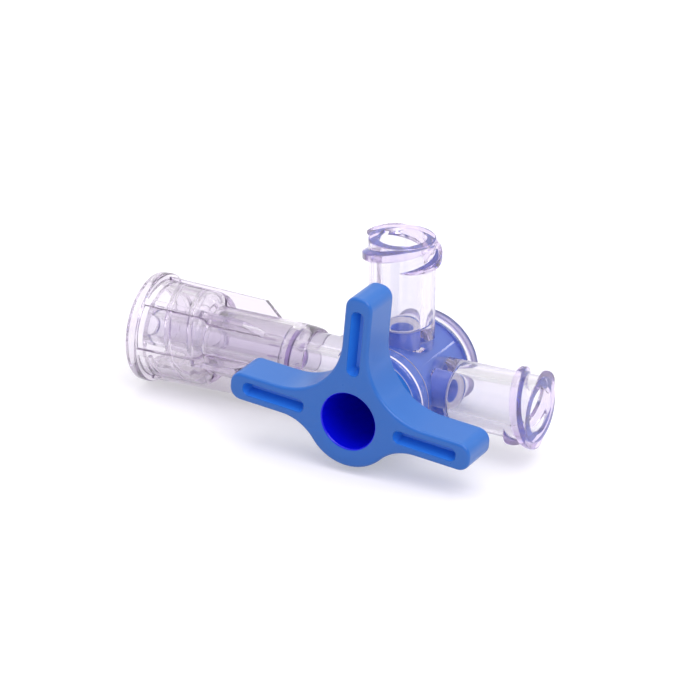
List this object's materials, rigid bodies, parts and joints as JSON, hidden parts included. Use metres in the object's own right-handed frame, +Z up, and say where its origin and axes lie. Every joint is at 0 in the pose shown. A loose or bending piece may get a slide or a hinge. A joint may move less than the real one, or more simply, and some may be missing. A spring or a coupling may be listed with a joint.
{
  "type": "three way stopcock",
  "caption": "Clear three way stopcock with a blue T handle, female luer lock ports and a turning male luer lock collar.",
  "frame": {"origin": "bottom centre of the bounding box; the part lies on its rear flange and its collar's lip", "axes": "+X from the collar to the in-line female port, +Y from the handle back along the plug, +Z up along the side port"},
  "size_m": [0.0434, 0.017, 0.0207],
  "materials": {
    "clear_polycarbonate": "clear with a faint violet tint",
    "blue_polyethylene": "satin moulded",
    "lilac_polycarbonate": "clear with a greyish lilac tint"
  },
  "bodies": {
    "body": {"stopcock_body": "clear_polycarbonate"},
    "handle": {"handle_plug": "blue_polyethylene"},
    "collar": {"rotating_collar": "lilac_polycarbonate"}
  },
  "joints": [
    {"name": "handle_turn", "type": "hinge", "parent": "body", "child": "handle", "pos_m": [0.00658, 0.00267, 0.0056], "axis": [0, 1, 0], "continuous": true},
    {"name": "collar_spin", "type": "hinge", "parent": "body", "child": "collar", "pos_m": [-0.01, 0.00267, 0.0056], "axis": [1, 0, 0], "continuous": true}
  ]
}
